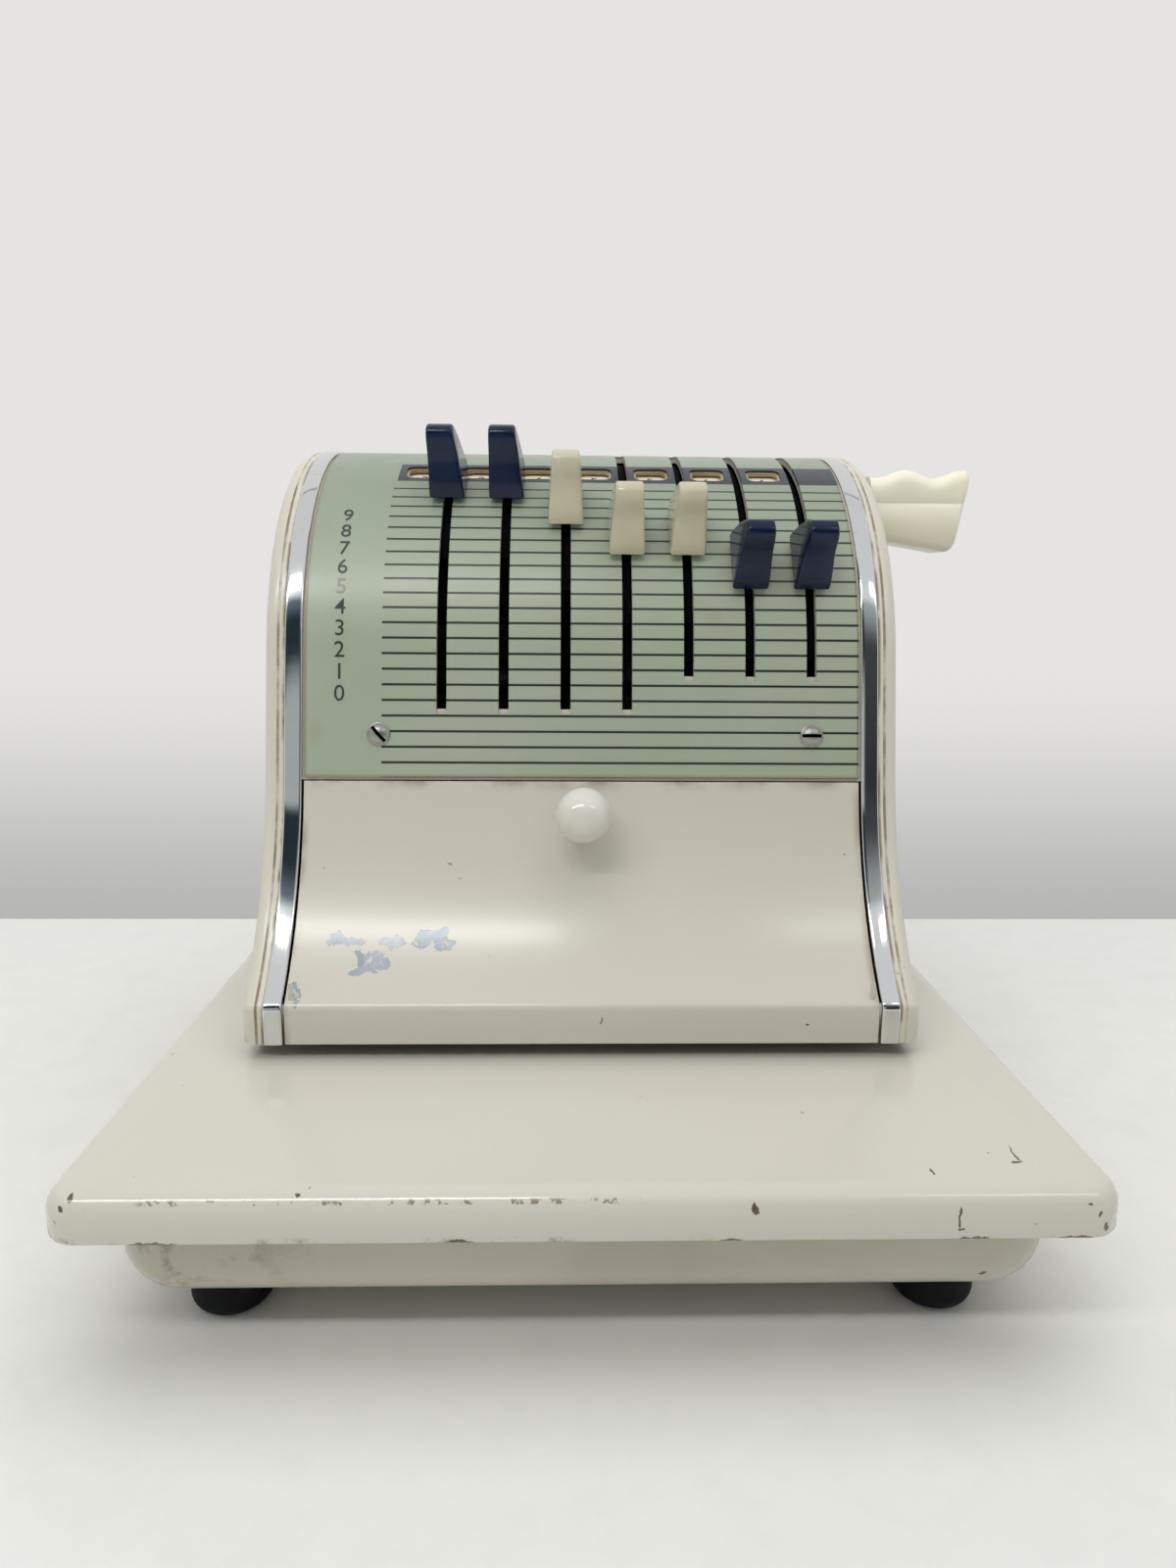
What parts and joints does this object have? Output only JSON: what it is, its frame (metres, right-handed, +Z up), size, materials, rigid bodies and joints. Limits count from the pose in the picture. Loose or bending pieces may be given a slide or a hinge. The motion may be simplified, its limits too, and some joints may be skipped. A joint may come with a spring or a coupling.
{
  "type": "check writer",
  "caption": "Desk check writer with a flat tray, a rounded press head, amount levers in slots, a hinged front door and a side pull handle.",
  "frame": {"origin": "on the table, under the middle of the whole machine's bounding box", "axes": "+X to the machine's right, where the handle is, +Y to its back, +Z up; the levers and the door are at -Y"},
  "size_m": [0.2738, 0.322, 0.2393],
  "materials": {
    "case_enamel": "satin cream enamel, worn",
    "base_enamel": "gloss cream enamel, worn",
    "grip_plastic": "gloss",
    "plate_print": "satin green print with dark lines",
    "chrome": "polished",
    "steel": "satin",
    "dark_steel": "dull",
    "navy_plastic": "gloss",
    "rubber": "dull",
    "ink_felt": "dull",
    "knob_plastic": "gloss"
  },
  "bodies": {
    "case": {"base_tray": "base_enamel", "base_pan": "base_enamel", "rubber_feet": "rubber", "foot_screws": "steel", "neck_spacer": "dark_steel", "throat_plate": "dark_steel", "side_frame_left": "steel", "side_frame_right": "steel", "side_cover_left": "case_enamel", "side_cover_right": "case_enamel", "chrome_trim_left": "chrome", "chrome_trim_right": "chrome", "head_shell": "case_enamel", "face_plate": "plate_print", "face_screws": "chrome", "rear_cover": "case_enamel", "case_screws": "chrome", "tie_rods": "steel", "lever_shaft": "steel", "lever_spacers": "chrome", "detent_springs": "steel", "type_shaft": "steel", "return_spring": "steel"},
    "handle": {"main_shaft": "steel", "press_cams": "dark_steel", "handle_arm": "steel", "handle_grip": "grip_plastic"},
    "press": {"platen": "dark_steel", "platen_yoke": "steel"},
    "door": {"front_door": "case_enamel", "door_knob": "knob_plastic"},
    "roller": {"ink_roller": "ink_felt"},
    "lever_1": {"lever_sector_1": "steel", "lever_dial_1": "base_enamel", "lever_cap_1": "navy_plastic"},
    "lever_2": {"lever_sector_2": "steel", "lever_dial_2": "base_enamel", "lever_cap_2": "navy_plastic"},
    "lever_3": {"lever_sector_3": "steel", "lever_dial_3": "base_enamel", "lever_cap_3": "grip_plastic"},
    "lever_4": {"lever_sector_4": "steel", "lever_dial_4": "base_enamel", "lever_cap_4": "grip_plastic"},
    "lever_5": {"lever_sector_5": "steel", "lever_dial_5": "base_enamel", "lever_cap_5": "grip_plastic"},
    "lever_6": {"lever_sector_6": "steel", "lever_dial_6": "base_enamel", "lever_cap_6": "navy_plastic"},
    "lever_7": {"lever_sector_7": "steel", "lever_dial_7": "base_enamel", "lever_cap_7": "navy_plastic"},
    "wheel_1": {"type_wheel_1": "steel"},
    "wheel_2": {"type_wheel_2": "steel"},
    "wheel_3": {"type_wheel_3": "steel"},
    "wheel_4": {"type_wheel_4": "steel"},
    "wheel_5": {"type_wheel_5": "steel"},
    "wheel_6": {"type_wheel_6": "steel"},
    "wheel_7": {"type_wheel_7": "steel"}
  },
  "joints": [
    {"name": "handle_pull", "type": "hinge", "parent": "case", "child": "handle", "pos_m": [0, 0.0933, 0.106], "axis": [1, 0, 0], "range_deg": [0, 60], "stiffness_Nm_per_rad": 0.5, "springref_deg": -57.3},
    {"name": "platen_lift", "type": "slide", "parent": "case", "child": "press", "axis": [0, 0, 1], "range_m": [0, 0.0052]},
    {"name": "door_hinge", "type": "hinge", "parent": "case", "child": "door", "pos_m": [0, -0.0845, 0.0628], "axis": [1, 0, 0], "range_deg": [0, 95]},
    {"name": "roller_spin", "type": "hinge", "parent": "case", "child": "roller", "pos_m": [0, 0.00724, 0.07706], "axis": [1, 0, 0], "continuous": true},
    {"name": "lever_1_turn", "type": "hinge", "parent": "case", "child": "lever_1", "pos_m": [0, 0.0344, 0.1522], "axis": [1, 0, 0], "range_deg": [-23.68, 47.37]},
    {"name": "lever_2_turn", "type": "hinge", "parent": "case", "child": "lever_2", "pos_m": [0, 0.0344, 0.1522], "axis": [1, 0, 0], "range_deg": [-23.68, 47.37]},
    {"name": "lever_3_turn", "type": "hinge", "parent": "case", "child": "lever_3", "pos_m": [0, 0.0344, 0.1522], "axis": [1, 0, 0], "range_deg": [-31.58, 39.47]},
    {"name": "lever_4_turn", "type": "hinge", "parent": "case", "child": "lever_4", "pos_m": [0, 0.0344, 0.1522], "axis": [1, 0, 0], "range_deg": [-39.47, 31.58]},
    {"name": "lever_5_turn", "type": "hinge", "parent": "case", "child": "lever_5", "pos_m": [0, 0.0344, 0.1522], "axis": [1, 0, 0], "range_deg": [-39.47, 23.68]},
    {"name": "lever_6_turn", "type": "hinge", "parent": "case", "child": "lever_6", "pos_m": [0, 0.0344, 0.1522], "axis": [1, 0, 0], "range_deg": [-47.37, 15.79]},
    {"name": "lever_7_turn", "type": "hinge", "parent": "case", "child": "lever_7", "pos_m": [0, 0.0344, 0.1522], "axis": [1, 0, 0], "range_deg": [-47.37, 15.79]},
    {"name": "wheel_1_turn", "type": "hinge", "parent": "case", "child": "wheel_1", "pos_m": [0, 0.0344, 0.07606], "axis": [1, 0, 0], "range_deg": [-180.05, 90.05]},
    {"name": "wheel_2_turn", "type": "hinge", "parent": "case", "child": "wheel_2", "pos_m": [0, 0.0344, 0.07606], "axis": [1, 0, 0], "range_deg": [-180.05, 90.05]},
    {"name": "wheel_3_turn", "type": "hinge", "parent": "case", "child": "wheel_3", "pos_m": [0, 0.0344, 0.07606], "axis": [1, 0, 0], "range_deg": [-150.05, 120.05]},
    {"name": "wheel_4_turn", "type": "hinge", "parent": "case", "child": "wheel_4", "pos_m": [0, 0.0344, 0.07606], "axis": [1, 0, 0], "range_deg": [-120.05, 150.05]},
    {"name": "wheel_5_turn", "type": "hinge", "parent": "case", "child": "wheel_5", "pos_m": [0, 0.0344, 0.07606], "axis": [1, 0, 0], "range_deg": [-90.05, 150.05]},
    {"name": "wheel_6_turn", "type": "hinge", "parent": "case", "child": "wheel_6", "pos_m": [0, 0.0344, 0.07606], "axis": [1, 0, 0], "range_deg": [-60.05, 180.05]},
    {"name": "wheel_7_turn", "type": "hinge", "parent": "case", "child": "wheel_7", "pos_m": [0, 0.0344, 0.07606], "axis": [1, 0, 0], "range_deg": [-60.05, 180.05]}
  ],
  "couplings": [
    {"joint": "platen_lift", "follows": "handle_pull", "m_per_rad": 0.0049655},
    {"joint": "wheel_1_turn", "follows": "lever_1_turn", "ratio": -3.8},
    {"joint": "wheel_2_turn", "follows": "lever_2_turn", "ratio": -3.8},
    {"joint": "wheel_3_turn", "follows": "lever_3_turn", "ratio": -3.8},
    {"joint": "wheel_4_turn", "follows": "lever_4_turn", "ratio": -3.8},
    {"joint": "wheel_5_turn", "follows": "lever_5_turn", "ratio": -3.8},
    {"joint": "wheel_6_turn", "follows": "lever_6_turn", "ratio": -3.8},
    {"joint": "wheel_7_turn", "follows": "lever_7_turn", "ratio": -3.8}
  ]
}
